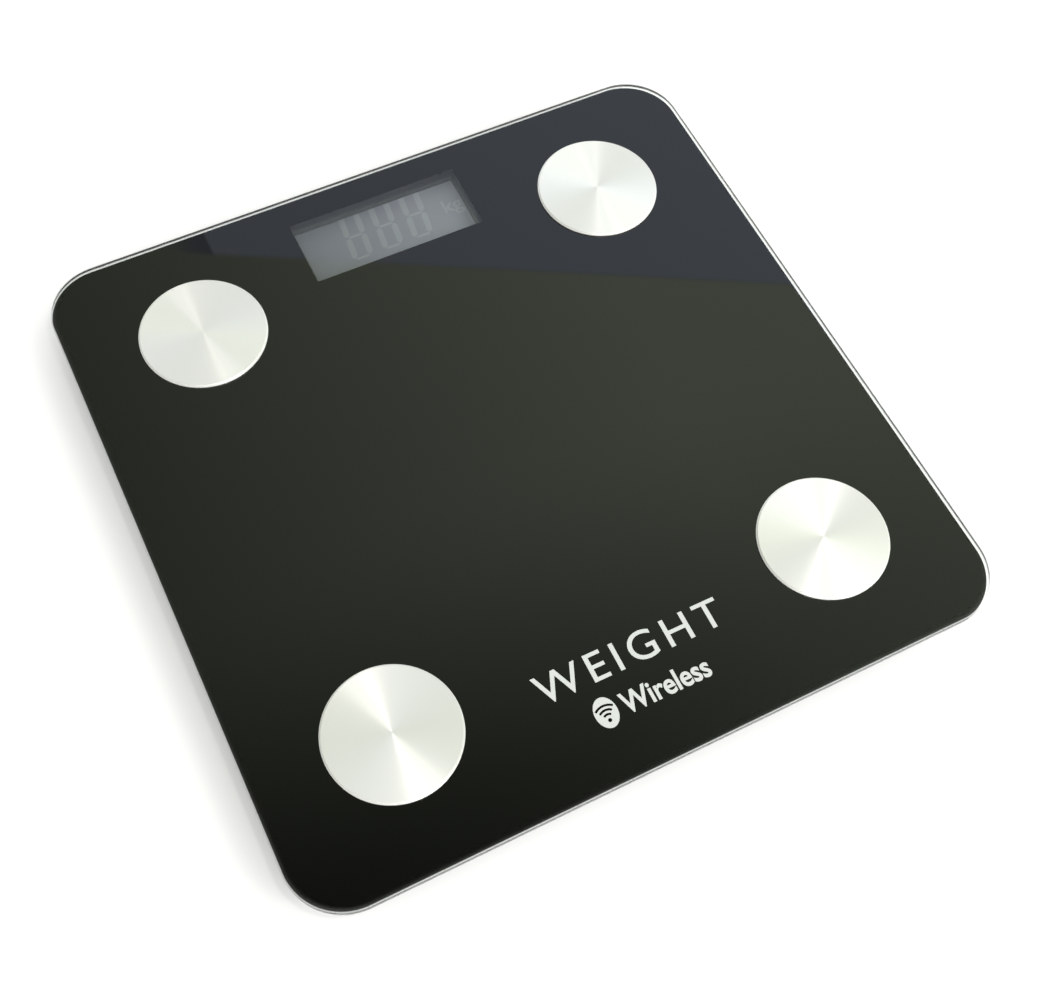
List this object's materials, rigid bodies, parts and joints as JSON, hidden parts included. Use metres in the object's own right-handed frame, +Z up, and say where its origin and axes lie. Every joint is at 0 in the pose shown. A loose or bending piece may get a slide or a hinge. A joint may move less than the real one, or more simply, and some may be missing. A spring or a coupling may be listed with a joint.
{
  "type": "digital bathroom scale",
  "caption": "Square glass platform scale with steel electrodes, a display under the glass, load-cell feet and a battery bay below.",
  "frame": {"origin": "on the floor, under the middle of the glass platform", "axes": "+Z up, +Y towards the edge with the display, +X to the right of a person who faces the display"},
  "size_m": [0.3, 0.3, 0.0248],
  "materials": {
    "black_backed_glass": "clear tempered glass with polished faces over a black printed back",
    "spun_steel": "stainless sheet with fine turned lines",
    "nickel_plate": "dull nickel plate",
    "black_abs": "fine moulded texture",
    "grey_rubber": "soft matte rubber",
    "white_foam_tape": "closed-cell foam",
    "green_board": "green solder mask",
    "black_epoxy": "moulded epoxy",
    "grey_lcd": "grey display glass behind a polariser",
    "white_diffuser": "frosted white",
    "grey_moulding": "satin moulded plastic",
    "battery_sleeve": "printed metal sleeve",
    "red_insulation": "wire insulation",
    "black_insulation": "wire insulation",
    "white_insulation": "white film and plunger plastic"
  },
  "bodies": {
    "platform": {"glass_platform": "black_backed_glass", "bonding_tape": "white_foam_tape", "base_shell": "black_abs", "electrode_front_left": "spun_steel", "electrode_front_right": "spun_steel", "electrode_rear_left": "spun_steel", "electrode_rear_right": "spun_steel", "electrode_lead_front_left": "nickel_plate", "electrode_lead_front_right": "nickel_plate", "electrode_lead_rear_left": "nickel_plate", "electrode_lead_rear_right": "nickel_plate", "electrode_nut_front_left": "nickel_plate", "electrode_nut_front_right": "nickel_plate", "electrode_nut_rear_left": "nickel_plate", "electrode_nut_rear_right": "nickel_plate", "load_cell_front_left": "spun_steel", "load_cell_front_right": "spun_steel", "load_cell_rear_left": "spun_steel", "load_cell_rear_right": "spun_steel", "strain_gauge_front_left": "white_insulation", "strain_gauge_front_right": "white_insulation", "strain_gauge_rear_left": "white_insulation", "strain_gauge_rear_right": "white_insulation", "cell_lead_front_left": "red_insulation", "cell_lead_front_right": "red_insulation", "cell_lead_rear_left": "red_insulation", "cell_lead_rear_right": "red_insulation", "main_board": "green_board", "board_screw_left": "nickel_plate", "board_screw_right": "nickel_plate", "main_chip": "black_epoxy", "radio_module": "spun_steel", "unit_switch": "black_epoxy", "lcd_frame": "grey_moulding", "lcd_panel": "grey_lcd", "lcd_backlight": "white_diffuser", "zebra_strip": "grey_rubber", "battery_1": "battery_sleeve", "battery_2": "battery_sleeve", "battery_3": "battery_sleeve", "battery_spring_1": "nickel_plate", "battery_spring_2": "nickel_plate", "battery_spring_3": "nickel_plate", "battery_contact_plus": "nickel_plate", "battery_contact_minus": "nickel_plate", "battery_contact_bridge_left": "nickel_plate", "battery_contact_bridge_right": "nickel_plate", "battery_lead_red": "red_insulation", "battery_lead_black": "black_insulation"},
    "foot_front_left": {"foot_cap_front_left": "black_abs", "foot_pad_front_left": "grey_rubber"},
    "foot_front_right": {"foot_cap_front_right": "black_abs", "foot_pad_front_right": "grey_rubber"},
    "foot_rear_left": {"foot_cap_rear_left": "black_abs", "foot_pad_rear_left": "grey_rubber"},
    "foot_rear_right": {"foot_cap_rear_right": "black_abs", "foot_pad_rear_right": "grey_rubber"},
    "button": {"unit_button": "grey_moulding", "switch_plunger": "white_insulation"},
    "door": {"battery_door": "black_abs"}
  },
  "joints": [
    {"name": "foot_press_front_left", "type": "slide", "parent": "platform", "child": "foot_front_left", "axis": [0, 0, 1], "range_m": [0, 0.0004], "stiffness_N_per_m": 3000, "springref_m": -0.0014},
    {"name": "foot_press_front_right", "type": "slide", "parent": "platform", "child": "foot_front_right", "axis": [0, 0, 1], "range_m": [0, 0.0004], "stiffness_N_per_m": 3000, "springref_m": -0.0014},
    {"name": "foot_press_rear_left", "type": "slide", "parent": "platform", "child": "foot_rear_left", "axis": [0, 0, 1], "range_m": [0, 0.0004], "stiffness_N_per_m": 3000, "springref_m": -0.0014},
    {"name": "foot_press_rear_right", "type": "slide", "parent": "platform", "child": "foot_rear_right", "axis": [0, 0, 1], "range_m": [0, 0.0004], "stiffness_N_per_m": 3000, "springref_m": -0.0014},
    {"name": "button_press", "type": "slide", "parent": "platform", "child": "button", "axis": [0, 0, 1], "range_m": [0, 0.0005], "stiffness_N_per_m": 4000, "springref_m": -0.0002},
    {"name": "door_hinge", "type": "hinge", "parent": "platform", "child": "door", "pos_m": [-0.0274, 0.06, 0.0057], "axis": [0, 1, 0], "range_deg": [0, 70]}
  ]
}
